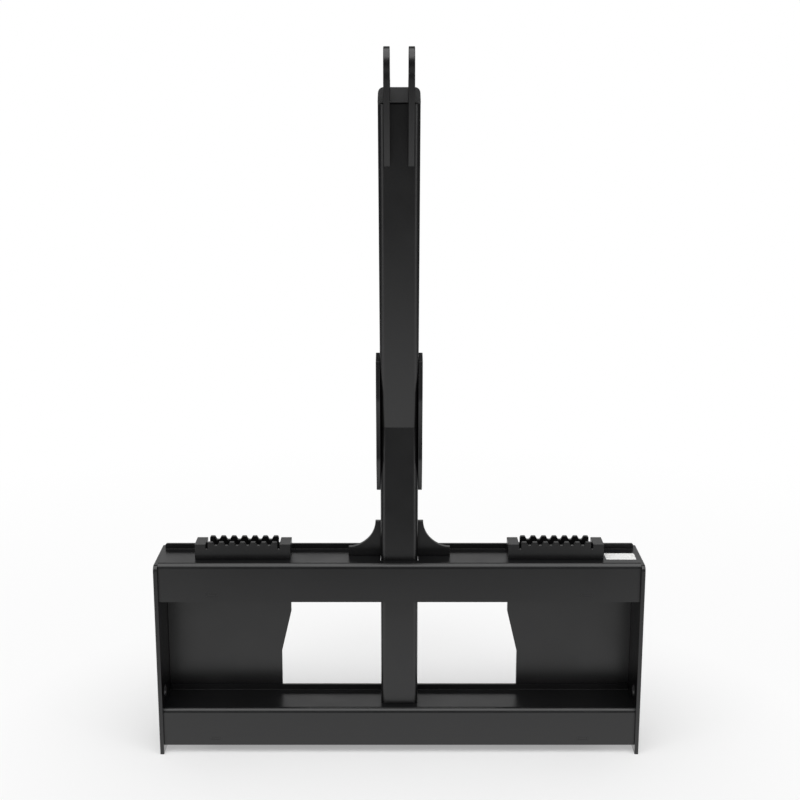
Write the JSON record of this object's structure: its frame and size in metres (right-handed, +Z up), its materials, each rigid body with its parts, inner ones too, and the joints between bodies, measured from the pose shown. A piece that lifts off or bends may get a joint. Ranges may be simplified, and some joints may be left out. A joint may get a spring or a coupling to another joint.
{
  "type": "tree boom",
  "caption": "Welded steel tree boom: a wide frame of formed rails and side plates, a forward-leaning square mast with chain hooks at its tip, and toothed chain racks.",
  "frame": {"origin": "on the ground, below the middle of the overall width and of the overall depth", "axes": "+Z up, -Y towards the tree, +X to the right as seen from the tree side"},
  "size_m": [1.1684, 0.4394, 1.6764],
  "materials": {
    "black_coat": "satin black powder coat"
  },
  "bodies": {
    "root": {"top_rail": "black_coat", "bottom_rail": "black_coat", "side_plate_left": "black_coat", "side_plate_right": "black_coat", "mount_plate_left": "black_coat", "mount_plate_right": "black_coat", "upper_tie_left": "black_coat", "upper_tie_right": "black_coat", "lower_tie_left": "black_coat", "lower_tie_right": "black_coat", "mast_tube": "black_coat", "base_gusset_left": "black_coat", "base_gusset_right": "black_coat", "boom_tube": "black_coat", "boom_end_cap": "black_coat", "knee_gusset_left": "black_coat", "knee_gusset_right": "black_coat", "chain_hook_left": "black_coat", "chain_hook_right": "black_coat", "rack_front_comb_left": "black_coat", "rack_rear_comb_left": "black_coat", "rack_outer_block_left": "black_coat", "rack_inner_block_left": "black_coat", "rack_front_comb_right": "black_coat", "rack_rear_comb_right": "black_coat", "rack_outer_block_right": "black_coat", "rack_inner_block_right": "black_coat"}
  },
  "joints": []
}
